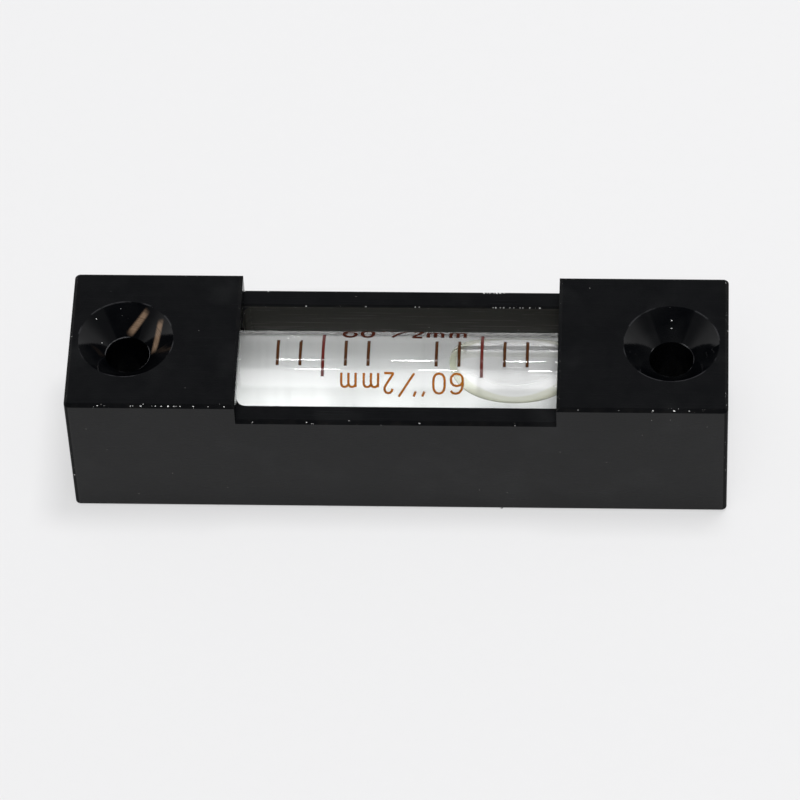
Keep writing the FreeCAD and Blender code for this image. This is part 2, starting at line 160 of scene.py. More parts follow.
def band(tree, vector, start, end, half_width):
    """1 along the straight mark from start to end in plan, soft at its sides and ends."""
    way = Vector(end) - Vector(start)
    length = way.length
    way.normalize()
    here = vector_of(tree, "SUBTRACT", vector, (start[0], start[1], 0))
    along = vector_of(tree, "DOT_PRODUCT", here, (way.x, way.y, 0))
    across = vector_of(tree, "DOT_PRODUCT", here, (-way.y, way.x, 0))
    side = fade(tree, math_of(tree, "ABSOLUTE", across), half_width, half_width * 0.3)
    begun = fade(tree, along, -0.1, 0.5)
    ended = fade(tree, along, length + 0.1, length - 0.7)
    return math_of(tree, "MULTIPLY", side, math_of(tree, "MULTIPLY", begun, ended))


anodised, tree, output, place = open_material("black anodised aluminium")
axes = add(tree, "ShaderNodeSeparateXYZ", {0: place}).outputs
normal = add(tree, "ShaderNodeNewGeometry").outputs["True Normal"]
facing = add(tree, "ShaderNodeSeparateXYZ", {0: vector_of(tree, "ABSOLUTE", normal)}).outputs
squarest = math_of(tree, "MAXIMUM", math_of(tree, "MAXIMUM", facing[0], facing[1]), facing[2])
on_edge = fade(tree, squarest, 0.99, 0.90)
from_middle = math_of(tree, "ABSOLUTE", axes[0])
along = math_of(tree, "SUBTRACT", from_middle, HOLE_PLACES[1] / MM)
reach = add(tree, "ShaderNodeCombineXYZ", {0: along, 1: axes[1]}).outputs[0]
from_hole = vector_of(tree, "LENGTH", reach)
in_cone = fade(tree, from_hole, COUNTERSINK_RADIUS / MM + 0.05, COUNTERSINK_RADIUS / MM - 0.05)
on_edge = math_of(tree, "MULTIPLY", on_edge, math_of(tree, "SUBTRACT", 1.0, in_cone))
blotches = noise(tree, place, 0.45, 3.0, 0.6)
cutter_lines = noise(tree, stretch(tree, place, (0.12, 7.0, 7.0)), 1.0, 4.0, 0.7)
grain = noise(tree, place, 9.0, 3.0, 0.6)
rings = noise(tree, add(tree, "ShaderNodeCombineXYZ", {0: from_hole}).outputs[0], 9.0, 3.0, 0.6)
tone = mix(tree, fade(tree, blotches, 0.3, 0.7), DYE_DARK, DYE_LIGHT)
handled = fade(tree, noise(tree, place, 0.14, 3.0, 0.55), 0.50, 0.72)
tone = mix(tree, math_of(tree, "MULTIPLY", handled, 0.55), tone, HAZE)
tone = mix(tree, math_of(tree, "MULTIPLY", fade(tree, cutter_lines, 0.55, 0.8), 0.12), tone, EDGE_DYE)
# The window's front and rear walls are given a lighter, browner tone.
from_window = math_of(tree, "ABSOLUTE", math_of(tree, "SUBTRACT", axes[0], WINDOW_MIDDLE))
in_window = math_of(tree, "LESS_THAN", from_window, WINDOW_HALF[0])
in_width = math_of(tree, "LESS_THAN", math_of(tree, "ABSOLUTE", axes[1]), WINDOW_HALF[1])
in_window = math_of(tree, "MULTIPLY", in_window, in_width)
in_window = math_of(tree, "MULTIPLY", in_window, fade(tree, facing[1], 0.3, 0.6))
tone = mix(tree, in_window, tone, WINDOW_WALL_TONE)
worn = math_of(tree, "MULTIPLY", on_edge, fade(tree, noise(tree, place, 1.1, 3.0, 0.6), 0.45, 0.75))
tone = mix(tree, math_of(tree, "MULTIPLY", worn, 0.7), tone, EDGE_DYE)
specks = add(tree, "ShaderNodeTexVoronoi", {"Vector": place, "Scale": 1.25, "Randomness": 1.0})
speck_size = add(tree, "ShaderNodeSeparateColor", {0: specks.outputs["Color"]}).outputs
chosen = fade(tree, speck_size[0], 0.90, 0.92)
speck = math_of(tree, "MULTIPLY", chosen, fade(tree, specks.outputs["Distance"], 0.075, 0.04))
tone = mix(tree, math_of(tree, "MULTIPLY", speck, speck_size[1]), tone, DUST)
# Two tan streaks in the left countersink are painted highlights: a lamp's reflection along the cone.
in_left_hole = vector_of(tree, "SUBTRACT", place, (HOLE_PLACES[0] / MM, 0, 0))
for start, end, half_width in CONE_HIGHLIGHT_STREAKS:
    mark = band(tree, in_left_hole, start, end, half_width)
    mark = math_of(tree, "MULTIPLY", mark, fade(tree, axes[2], 12.25, 12.45))
    mark = math_of(tree, "MULTIPLY", mark, in_cone)
    mark = math_of(tree, "MULTIPLY", mark, fade(tree, rings, 0.25, 0.6, 0.35, 1.0))
    tone = mix(tree, mark, tone, CONE_PAINTED_HIGHLIGHT)
# Thin light lines round the countersinks' rims and the bores' rims are painted glints, broken into patches.
patchy = fade(tree, noise(tree, place, 0.7, 2.0, 0.5), 0.45, 0.62)
for radius, level, glint in RIM_GLINTS:
    off = add(tree, "ShaderNodeCombineXYZ", {0: from_hole, 1: axes[2]}).outputs[0]
    off = vector_of(tree, "DISTANCE", off, (radius, level, 0))
    glint_line = math_of(tree, "MULTIPLY", fade(tree, off, 0.10, 0.03), patchy)
    tone = mix(tree, glint_line, tone, glint)
nick = math_of(tree, "MULTIPLY", on_edge, fade(tree, noise(tree, place, 2.6, 4.0, 0.7), 0.67, 0.70))
tone = mix(tree, nick, tone, BARE_METAL)
polish = fade(tree, cutter_lines, 0.3, 0.7, 0.24, 0.28)
polish = math_of(tree, "ADD", polish, math_of(tree, "MULTIPLY", on_edge, 0.15))
polish = math_of(tree, "SUBTRACT", polish, math_of(tree, "MULTIPLY", in_cone, 0.17))
fine_grain = math_of(tree, "MULTIPLY", grain, 0.5)
height = math_of(tree, "ADD", math_of(tree, "MULTIPLY", cutter_lines, 0.5), fine_grain)
height = math_of(tree, "ADD", height, math_of(tree, "MULTIPLY", in_cone, rings))
bump = add(tree, "ShaderNodeBump", {"Strength": 0.2, "Distance": 0.000004, "Height": height})
metal = add(tree, "ShaderNodeBsdfPrincipled", {
    "Base Color": tone,
    "Metallic": nick,
    "Roughness": polish,
    "Normal": bump.outputs[0],
    "Specular IOR Level": 0.2,
})
rubbed = add(tree, "ShaderNodeBsdfDiffuse", {"Color": tone, "Roughness": 0.6})
matt = math_of(tree, "MULTIPLY", math_of(tree, "SUBTRACT", on_edge, nick), 0.7, clamp=True)
finish = add(tree, "ShaderNodeMixShader", {0: matt, 1: metal.outputs[0], 2: rubbed.outputs[0]})
tree.links.new(finish.outputs[0], output.inputs[0])
dress("housing", anodised)


# Plaster bed. White casting plaster poured round the lower half of the vial, which it holds in the block.
# It is the white ground that the lines are read against, with the grain and the faint streaks of a hand mix.
PLASTER_WHITE = (0.90, 0.90, 0.885, 1)
PLASTER_GREY = (0.80, 0.80, 0.79, 1)
plaster, tree, output, place = open_material("casting plaster")
streaks = noise(tree, stretch(tree, place, (0.9, 0.12, 0.12)), 1.0, 4.0, 0.65)
crumbs = noise(tree, place, 14.0, 3.0, 0.6)
tone = mix(tree, fade(tree, streaks, 0.3, 0.7), PLASTER_GREY, PLASTER_WHITE)
bump = add(tree, "ShaderNodeBump", {"Strength": 0.4, "Distance": 0.00003, "Height": crumbs})
chalk = add(tree, "ShaderNodeBsdfPrincipled", {
    "Base Color": tone,
    "Roughness": fade(tree, crumbs, 0.3, 0.7, 0.82, 0.95),
    "Normal": bump.outputs[0],
    "Specular IOR Level": 0.3,
})
tree.links.new(chalk.outputs[0], output.inputs[0])
dress("plaster_bed", plaster)


# Vial tube. Clear glass, ground inside to a barrel of 6.9 m radius. The bore meets the liquid, so it bends
# light only by the step between the two. White enamel coats the lower part, higher behind than in front.
# It is thick along the bottom and thinner up the sides, where it lets light through from behind.
# From 5 mm up its colour is painted grey: painted shade.
VIAL_RADIUS = 4.75 * MM
AXIS_HEIGHT = 8.2 * MM
BORE_RADIUS = 3.25 * MM
BARREL_RADIUS = 6875.5 * MM
RIM_CHAMFER = 0.25 * MM
STEPS_ROUND = 1024
STEPS_ALONG = 16
COAT_FRONT = 10.2 * MM
COAT_REAR = 11.2 * MM
COAT_DEPTH = 0.015 * MM
GLASS_IOR = 1.47
LIQUID_IOR = 1.36
GLASS_TINT = (0.992, 0.995, 0.996, 1)
ENAMEL_WHITE = (0.90, 0.90, 0.898, 1)
ENAMEL_PAINTED_SHADE = (0.68, 0.68, 0.675, 1)
ENAMEL_STREAK = (0.94, 0.94, 0.94, 1)


def through_glass(tree, output, glass):
    """Lamps and light from matt surfaces pass straight through, so that what is in the glass is lit."""
    rays = add(tree, "ShaderNodeLightPath").outputs
    passing = math_of(tree, "MAXIMUM", rays["Is Shadow Ray"], rays["Is Diffuse Ray"])
    clear = add(tree, "ShaderNodeBsdfTransparent", {"Color": GLASS_TINT})
    mixed = add(tree, "ShaderNodeMixShader", {0: passing, 1: glass, 2: clear.outputs[0]})
    tree.links.new(mixed.outputs[0], output.inputs[0])


def turned_mesh(name, profile, segments, middle):
    """A closed ring of glass: the profile's (x, radius) points turned round the vial's axis."""
    shape = bmesh.new()
    rings_made = []
    for x, radius in profile:
        ring = []
        for step in range(segments):
            angle = 2 * math.pi * step / segments
            coated = math.sin(angle) < 0 and radius >= VIAL_RADIUS
            around = radius - COAT_DEPTH if coated else radius
            y = around * math.cos(angle)
            z = AXIS_HEIGHT + around * math.sin(angle)
            ring.append(shape.verts.new((x + middle, y, z)))
        rings_made.append(ring)
    count = len(rings_made)
    for index in range(count):
        here = rings_made[index]
        there = rings_made[(index + 1) % count]
        for step in range(segments):
            onward = (step + 1) % segments
            shape.faces.new((here[step], here[onward], there[onward], there[step]))
    bmesh.ops.recalc_face_normals(shape, faces=shape.faces)
    mesh = bpy.data.meshes.new(name)
    shape.to_mesh(mesh)
    shape.free()
    return mesh


def keep(name, mesh):
    """An object at the origin for a mesh that already has its place."""
    piece = bpy.data.objects.new(name, mesh)
    bpy.context.scene.collection.objects.link(piece)
    return piece


tube_low, tube_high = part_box("vial_tube")
tube_middle = (tube_low.x + tube_high.x) / 2
tube_half = (tube_high.x - tube_low.x) / 2
outside = [
    (-tube_half, VIAL_RADIUS - RIM_CHAMFER),
    (-tube_half + RIM_CHAMFER, VIAL_RADIUS),
    (tube_half - RIM_CHAMFER, VIAL_RADIUS),
    (tube_half, VIAL_RADIUS - RIM_CHAMFER),
]
inside = []
for step in range(STEPS_ALONG + 1):
    x = tube_half * (1 - 2 * step / STEPS_ALONG)
    inside.append((x, BORE_RADIUS - x * x / (2 * BARREL_RADIUS)))
tube_mesh = turned_mesh("ground_glass_tube", outside + inside, STEPS_ROUND, tube_middle)
outer_glass, tree, output, place = open_material("vial glass, outer face")
smears = noise(tree, stretch(tree, place, (0.5, 1.0, 1.0)), 0.6, 3.0, 0.6)
glass = add(tree, "ShaderNodeBsdfPrincipled", {
    "Base Color": GLASS_TINT,
    "Transmission Weight": 1.0,
    "IOR": GLASS_IOR,
    "Roughness": fade(tree, smears, 0.62, 0.8, 0.0, 0.006),
})
through_glass(tree, output, glass.outputs[0])
bore_glass, tree, output, place = open_material("vial glass, bore")
lapping = noise(tree, stretch(tree, place, (3.0, 1.0, 1.0)), 1.0, 3.0, 0.6)
glass = add(tree, "ShaderNodeBsdfPrincipled", {
    "Base Color": (1, 1, 1, 1),
    "Transmission Weight": 1.0,
    "IOR": GLASS_IOR / LIQUID_IOR,
    "Roughness": fade(tree, lapping, 0.5, 0.8, 0.0, 0.02),
})
through_glass(tree, output, glass.outputs[0])
enamel, tree, output, place = open_material("white enamel")
brushed = noise(tree, stretch(tree, place, (0.9, 0.10, 0.10)), 1.0, 4.0, 0.65)
level = add(tree, "ShaderNodeSeparateXYZ", {0: place}).outputs[2]
# The enamel's colour goes from white at the bottom to grey from 5 mm up: painted shade.
thickness = mix(tree, fade(tree, level, 5.0, 5.8), ENAMEL_WHITE, ENAMEL_PAINTED_SHADE)
streakiness = fade(tree, brushed, 0.45, 0.75)
streaked = add(tree, "ShaderNodeMix", {0: streakiness}, data_type="RGBA", blend_type="MULTIPLY")
tree.links.new(thickness, streaked.inputs[6])
streaked.inputs[7].default_value = ENAMEL_STREAK
coat = add(tree, "ShaderNodeBsdfPrincipled", {
    "Base Color": streaked.outputs[2],
    "Roughness": fade(tree, brushed, 0.3, 0.7, 0.5, 0.7),
    "Specular IOR Level": 0.2,
})
lit_behind = add(tree, "ShaderNodeBsdfTranslucent", {"Color": ENAMEL_WHITE})
thinness = fade(tree, level, 7.0, 8.8, 0.0, 0.92)
coat = add(tree, "ShaderNodeMixShader", {0: thinness, 1: coat.outputs[0], 2: lit_behind.outputs[0]})
tree.links.new(coat.outputs[0], output.inputs[0])
for material in (outer_glass, bore_glass, enamel):
    tube_mesh.materials.append(material)
for face in tube_mesh.polygons:
    centre = face.center
    from_axis = math.hypot(centre.y, centre.z - AXIS_HEIGHT)
    face.use_smooth = True
    if from_axis < BORE_RADIUS + 0.01 * MM:
        face.material_index = 1
    elif centre.z < (COAT_REAR if centre.y > 0 else COAT_FRONT) and abs(face.normal.x) < 0.1:
        face.material_index = 2
tube_mesh.set_sharp_from_angle(angle=math.radians(30))
vial = keep("ground_glass_tube", tube_mesh)
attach(vial, "block")
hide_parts("vial_tube")


# End plugs and their cement. Each bore end is shut by a glass disc, set in a bead of pale yellow cement.
# Both are out of sight in the seat of the block.
plug_glass, tree, output, place = open_material("plug glass")
frost = noise(tree, place, 6.0, 3.0, 0.6)
glass = add(tree, "ShaderNodeBsdfPrincipled", {
    "Base Color": mix(tree, frost, (0.86, 0.90, 0.88, 1), (0.94, 0.97, 0.95, 1)),
    "Transmission Weight": 1.0,
    "IOR": GLASS_IOR,
    "Roughness": fade(tree, frost, 0.3, 0.7, 0.15, 0.4),
})
tree.links.new(glass.outputs[0], output.inputs[0])
dress("left_end_plug", plug_glass)
dress("right_end_plug", plug_glass)
cement, tree, output, place = open_material("sealing cement")
lumps = noise(tree, place, 2.5, 4.0, 0.6)
bump = add(tree, "ShaderNodeBump", {"Strength": 0.5, "Distance": 0.00005, "Height": lumps})
putty = add(tree, "ShaderNodeBsdfPrincipled", {
    "Base Color": mix(tree, lumps, (0.42, 0.34, 0.20, 1), (0.62, 0.54, 0.38, 1)),
    "Roughness": fade(tree, lumps, 0.3, 0.7, 0.4, 0.6),
    "Normal": bump.outputs[0],
})
tree.links.new(putty.outputs[0], output.inputs[0])
dress("left_plug_cement", cement)
dress("right_plug_cement", cement)


# Liquid. Clear thin spirit that fills the bore under the bubble. The glass faces do the bending of light,
# so the spirit itself only takes a trace of the light that passes.
spirit, tree, output, place = open_material("clear spirit")
drift = noise(tree, place, 0.3, 2.0, 0.5)
tint = mix(tree, drift, (0.985, 0.99, 0.985, 1), (0.995, 0.998, 0.995, 1))
clear = add(tree, "ShaderNodeBsdfTransparent", {"Color": tint})
tree.links.new(clear.outputs[0], output.inputs[0])
dress("vial_liquid", spirit)


# Bubble. Vapour of the spirit, held up against the barrel of the bore with a thin film of spirit round it.
# Its crown follows the bore, its belly hangs like a shallow bowl, and surface tension rounds its rim.
RIM_BEND = 0.42 * MM
RIM_STEP = 0.005 * MM
FILM_RADIUS = 3.15 * MM
LENS_RISE = 2.0 * MM
LENS_HEIGHT = 4.05 * MM
END_ROUNDING = 0.32 * MM
SIDE_ROUNDING = 0.10 * MM
COLUMNS_ROUND = 160
STEPS_OUTWARD = 16
STEPS_OF_RIM = 12
CLEARNESS = (0.50, 0.20)
BUBBLE_RIM_SHADE = (0.80, 0.82, 0.72, 1)
MIST = (0.12, 0.42)
MIST_WHITE = (0.88, 0.88, 0.875, 1)
MIST_RIM_SHADE = (0.70, 0.70, 0.60, 1)
bubble_low, bubble_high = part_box("bubble")
bubble_middle = (bubble_low.x + bubble_high.x) / 2
lens_centre = AXIS_HEIGHT + BORE_RADIUS + LENS_RISE
half_length = (bubble_high.x - bubble_low.x) / 2 + END_ROUNDING
half_width = bubble_high.y + SIDE_ROUNDING
lens_half_length = half_length / math.sqrt(1 - ((LENS_RISE + BORE_RADIUS - FILM_RADIUS) / LENS_HEIGHT) ** 2)
lens_depth_at_side = lens_centre - AXIS_HEIGHT - math.sqrt(FILM_RADIUS ** 2 - half_width ** 2)
lens_half_width = half_width / math.sqrt(1 - (lens_depth_at_side / LENS_HEIGHT) ** 2)


def crown_at(y):
    """Height of the film under the bore, that far from the middle."""
    return AXIS_HEIGHT + math.sqrt(max(FILM_RADIUS ** 2 - y * y, 0))


def belly_at(x, y):
    """Height of the bowl, at that place in plan."""
    left = 1 - (x / lens_half_length) ** 2 - (y / lens_half_width) ** 2
    return lens_centre - LENS_HEIGHT * math.sqrt(max(left, 0))


def rim_reach(cosine, sine):
    """How far from the middle the crown and the belly meet, that way."""
    near, far = 0.0, lens_half_length
    for _ in range(50):
        middle = (near + far) / 2
        x, y = cosine * middle, sine * middle
        open_here = abs(y) < FILM_RADIUS and crown_at(y) > belly_at(x, y)
        near, far = (middle, far) if open_here else (near, middle)
    return near


def bubble_mesh(directions, steps):
    """The bubble as columns of points from its crown over the rim to its belly, one column each way."""
    shape = bmesh.new()
    top = shape.verts.new((bubble_middle, 0, crown_at(0)))
    bottom = shape.verts.new((bubble_middle, 0, belly_at(0, 0)))
    columns = []
    for direction in range(directions):
        angle = 2 * math.pi * direction / directions
        x_way, y_way = 2 * math.cos(angle), math.sin(angle)
        size = math.hypot(x_way, y_way)
        x_way, y_way = x_way / size, y_way / size
        reach = rim_reach(x_way, y_way)
        corner = Vector((reach, crown_at(y_way * reach)))
        upper_end = reach
        upper = corner
        while (corner - upper).length < RIM_BEND:
            upper_end -= RIM_STEP
            upper = Vector((upper_end, crown_at(y_way * upper_end)))
        lower_end = reach
        lower = Vector((reach, belly_at(x_way * reach, y_way * reach)))
        while (corner - lower).length < RIM_BEND:
            lower_end -= RIM_STEP
            lower = Vector((lower_end, belly_at(x_way * lower_end, y_way * lower_end)))
        column = []
        for step in range(1, steps + 1):
            outward = upper_end * step / steps
            column.append((outward, crown_at(y_way * outward)))
        for step in range(1, STEPS_OF_RIM):
            t = step / STEPS_OF_RIM
            point = upper * (1 - t) ** 2 + corner * 2 * t * (1 - t) + lower * t * t
            column.append((point.x, point.y))
        for step in range(steps, 0, -1):
            outward = lower_end * step / steps
            column.append((outward, belly_at(x_way * outward, y_way * outward)))
        verts = []
        for outward, z in column:
            verts.append(shape.verts.new((bubble_middle + x_way * outward, y_way * outward, z)))
        columns.append(verts)
    for index, column in enumerate(columns):
        onward = columns[(index + 1) % directions]
        shape.faces.new((top, column[0], onward[0]))
        for step in range(len(column) - 1):
            shape.faces.new((column[step], column[step + 1], onward[step + 1], onward[step]))
        shape.faces.new((bottom, onward[-1], column[-1]))
    bmesh.ops.recalc_face_normals(shape, faces=shape.faces)
    for face in shape.faces:
        face.smooth = True
    mesh = bpy.data.meshes.new("vapour_bubble")
    shape.to_mesh(mesh)
    shape.free()
    return mesh


vapour, tree, output, place = open_material("vapour in spirit")
ripples = noise(tree, place, 1.5, 2.0, 0.5)
here = vector_of(tree, "SUBTRACT", place, (bubble_middle / MM, 0, 0))
outward = stretch(tree, here, (MM / half_length, MM / half_width, 0))
outward = vector_of(tree, "LENGTH", outward)
# At the rim the skin's tint and the mist turn grey-green and cream: painted shade of the bubble's outline.
in_rim = fade(tree, outward, 0.85, 0.89)
rim_shade_tint = mix(tree, in_rim, (1, 1, 1, 1), BUBBLE_RIM_SHADE)
skin = add(tree, "ShaderNodeBsdfGlass", {
    "Color": rim_shade_tint,
    "IOR": 1 / LIQUID_IOR,
    "Roughness": fade(tree, ripples, 0.5, 0.9, 0.0, 0.01),
})
faint = add(tree, "ShaderNodeBsdfTransparent", {"Color": rim_shade_tint})
mist = add(tree, "ShaderNodeBsdfDiffuse", {"Color": mix(tree, in_rim, MIST_WHITE, MIST_RIM_SHADE)})
clearness = fade(tree, outward, 0.50, 0.80, CLEARNESS[0], CLEARNESS[1])
skin = add(tree, "ShaderNodeMixShader", {0: clearness, 1: skin.outputs[0], 2: faint.outputs[0]})
toward_front = fade(tree, add(tree, "ShaderNodeSeparateXYZ", {0: place}).outputs[1], -0.2, -1.9)
mistiness = math_of(tree, "MULTIPLY", toward_front, fade(tree, outward, 0.50, 0.80))
mistiness = fade(tree, mistiness, 0.0, 1.0, MIST[0], MIST[1])
skin = add(tree, "ShaderNodeMixShader", {0: mistiness, 1: skin.outputs[0], 2: mist.outputs[0]})
through_glass(tree, output, skin.outputs[0])
bubble = keep("vapour_bubble", bubble_mesh(COLUMNS_ROUND, STEPS_OUTWARD))
bubble.data.materials.append(vapour)
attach(bubble, "bubble")
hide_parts("bubble")


# Graduations. Ten fine lines of baked red-brown ink across the crown of the tube, two of them long.
# They are printed in two groups of five at a pitch of 2 mm, and each is a narrow band bent round the glass.
FIRST_LINE = 3.0 * MM
LINE_PITCH = 2.0 * MM
LINES_A_SIDE = 5
LONG_LINE = 2
LINE_WIDTH = 0.27 * MM
INK_THICKNESS = 0.03 * MM
POINT_SPACING = 0.06 * MM
SHORT_HALF_ANGLE = math.radians(17.2)
LONG_HALF_ANGLE = math.radians(29.1)
SHARP_CORNER = math.radians(50)


def ink(name, thin, thick, roughness, gloss):
    """Baked ink, a little uneven in thickness."""
    material, tree, output, place = open_material(name)
    patches = noise(tree, place, 5.0, 3.0, 0.6)
    baked = add(tree, "ShaderNodeBsdfPrincipled", {
        "Base Color": mix(tree, fade(tree, patches, 0.3, 0.7), thin, thick),
        "Roughness": fade(tree, patches, 0.3, 0.7, roughness, roughness + 0.07),
        "Specular IOR Level": gloss,
    })
    tree.links.new(baked.outputs[0], output.inputs[0])
    return material


def open_tree(name, floats, integers=(), truths=()):
    """A new Geometry Nodes tree with geometry in and out, those inputs, and a finish."""
    tree = bpy.data.node_groups.new(name, "GeometryNodeTree")
    face = tree.interface
    face.new_socket("Geometry", in_out="INPUT", socket_type="NodeSocketGeometry")
    for labels, kind in ((floats, "Float"), (integers, "Int"), (truths, "Bool"), (("Finish",), "Material")):
        for label in labels:
            face.new_socket(label, in_out="INPUT", socket_type="NodeSocket" + kind)
    face.new_socket("Geometry", in_out="OUTPUT", socket_type="NodeSocketGeometry")
    return tree, tree.nodes.new("NodeGroupInput").outputs, tree.nodes.new("NodeGroupOutput").inputs


def finish_tree(tree, shapes, given, result):
    """Makes the shapes real, gives them their finish and sends them out."""
    real = add(tree, "GeometryNodeRealizeInstances", {0: shapes.outputs[0]}).outputs[0]
    done = add(tree, "GeometryNodeSetMaterial", {"Geometry": real, "Material": given["Finish"]})
    tree.links.new(done.outputs[0], result[0])
    return tree


def bent_ink_tree():
    """Flat curves in, strokes of ink on the tube out."""
    tree, given, result = open_tree("ink bent round the tube", (
        "Stroke width", "Ink thickness", "Tube radius", "Axis height", "Middle", "Baseline angle", "Side"))
    spacing = {"Curve": given["Geometry"], "Length": POINT_SPACING}
    even = add(tree, "GeometryNodeResampleCurve", spacing, mode="LENGTH")
    section = add(tree, "GeometryNodeCurvePrimitiveQuadrilateral", {
        "Width": given["Stroke width"],
        "Height": given["Ink thickness"],
    })
    ribbon = add(tree, "GeometryNodeCurveToMesh", {
        "Curve": even.outputs[0],
        "Profile Curve": section.outputs[0],
        "Fill Caps": True,
    })
    position = tree.nodes.new("GeometryNodeInputPosition").outputs[0]
    flat = add(tree, "ShaderNodeSeparateXYZ", {0: position}).outputs
    turn = math_of(tree, "DIVIDE", flat[1], given["Tube radius"])
    angle = math_of(tree, "ADD", turn, given["Baseline angle"])
    radius = math_of(tree, "ADD", given["Tube radius"], flat[2])
    x = math_of(tree, "MULTIPLY", flat[0], given["Side"])
    x = math_of(tree, "ADD", x, given["Middle"])
    y = math_of(tree, "MULTIPLY", math_of(tree, "SINE", angle), radius)
    y = math_of(tree, "MULTIPLY", y, given["Side"])
    z = math_of(tree, "MULTIPLY", math_of(tree, "COSINE", angle), radius)
    z = math_of(tree, "ADD", z, given["Axis height"])
    bent = add(tree, "ShaderNodeCombineXYZ", {0: x, 1: y, 2: z}).outputs[0]
    wrapped = add(tree, "GeometryNodeSetPosition", {"Geometry": ribbon.outputs[0], "Position": bent})
    return finish_tree(tree, wrapped, given, result)


def graduation_tree(bent_ink):
    """One kind of line, long or short, on both sides of the middle."""
    lengths = ("First line", "Pitch", "Half length", "Line width", "Ink thickness", "Tube radius",
               "Axis height", "Middle")
    counts = ("Lines a side", "Long line")
    tree, given, result = open_tree("graduations on both sides", lengths, counts, ("Long ones",))
    places = add(tree, "GeometryNodeMeshLine", {
        "Count": given["Lines a side"],
        "Start Location": add(tree, "ShaderNodeCombineXYZ", {0: given["First line"]}).outputs[0],
        "Offset": add(tree, "ShaderNodeCombineXYZ", {0: given["Pitch"]}).outputs[0],
    })
    number = tree.nodes.new("GeometryNodeInputIndex").outputs[0]
    pair = {2: number, 3: given["Long line"]}
    is_long = add(tree, "FunctionNodeCompare", pair, data_type="INT", operation="EQUAL").outputs[0]
    wanted = add(tree, "FunctionNodeBooleanMath", {0: is_long, 1: given["Long ones"]}, operation="XNOR")
    backward = math_of(tree, "MULTIPLY", given["Half length"], -1.0)
    line = add(tree, "GeometryNodeCurvePrimitiveLine", {
        "Start": add(tree, "ShaderNodeCombineXYZ", {1: backward}).outputs[0],
        "End": add(tree, "ShaderNodeCombineXYZ", {1: given["Half length"]}).outputs[0],
    })
    drawn = add(tree, "GeometryNodeInstanceOnPoints", {
        "Points": places.outputs[0],
        "Selection": wanted.outputs[0],
        "Instance": line.outputs[0],
    })
    right_side = add(tree, "GeometryNodeRealizeInstances", {0: drawn.outputs[0]}).outputs[0]
    left_side = add(tree, "GeometryNodeTransform", {"Geometry": right_side, "Scale": (-1, 1, 1)}).outputs[0]
    both = add(tree, "GeometryNodeJoinGeometry", {0: left_side})
    tree.links.new(right_side, both.inputs[0])
    bend = add(tree, "GeometryNodeGroup", node_tree=bent_ink)
    tree.links.new(both.outputs[0], bend.inputs["Geometry"])
    tree.links.new(given["Line width"], bend.inputs["Stroke width"])
    for label in ("Ink thickness", "Tube radius", "Axis height", "Middle", "Finish"):
        tree.links.new(given[label], bend.inputs[label])
    bend.inputs["Side"].default_value = 1.0
    tree.links.new(bend.outputs[0], result[0])
    return tree


def made_by_nodes(name, data, group, values):
    """The plain mesh that a Geometry Nodes tree makes from data."""
    source = bpy.data.objects.new(name + "_source", data)
    bpy.context.scene.collection.objects.link(source)
    modifier = source.modifiers.new("made", "NODES")
    modifier.node_group = group
    for item in group.interface.items_tree:
        if item.item_type == "SOCKET" and item.in_out == "INPUT" and item.name in values:
            modifier[item.identifier] = values[item.name]
    graph = bpy.context.evaluated_depsgraph_get()
    mesh = bpy.data.meshes.new_from_object(source.evaluated_get(graph), depsgraph=graph)
    source.modifiers.clear()
    bpy.data.objects.remove(source)
    mesh.set_sharp_from_angle(angle=SHARP_CORNER)
    mesh.name = name
    return mesh


short_ink = ink("short line ink", (0.056, 0.022, 0.007, 1), (0.036, 0.011, 0.004, 1), 0.05, 0.22)
long_ink = ink("long line ink", (0.090, 0.014, 0.011, 1), (0.065, 0.009, 0.007, 1), 0.05, 0.22)
bent_ink = bent_ink_tree()
graduations = graduation_tree(bent_ink)
for name, half_angle, line_ink in (
    ("short_graduations", SHORT_HALF_ANGLE, short_ink),
    ("long_graduations", LONG_HALF_ANGLE, long_ink),
):
    lines = keep("printed_" + name, made_by_nodes(name + "_ink", bpy.data.meshes.new(name), graduations, {
        "First line": FIRST_LINE,
        "Pitch": LINE_PITCH,
        "Half length": half_angle * VIAL_RADIUS,
        "Line width": LINE_WIDTH,
        "Ink thickness": INK_THICKNESS,
        "Tube radius": VIAL_RADIUS,
        "Axis height": AXIS_HEIGHT,
        "Middle": tube_middle,
        "Lines a side": LINES_A_SIDE,
        "Long line": LONG_LINE,
        "Long ones": name.startswith("long"),
        "Finish": line_ink,
    }))
    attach(lines, "block")
    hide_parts(name)


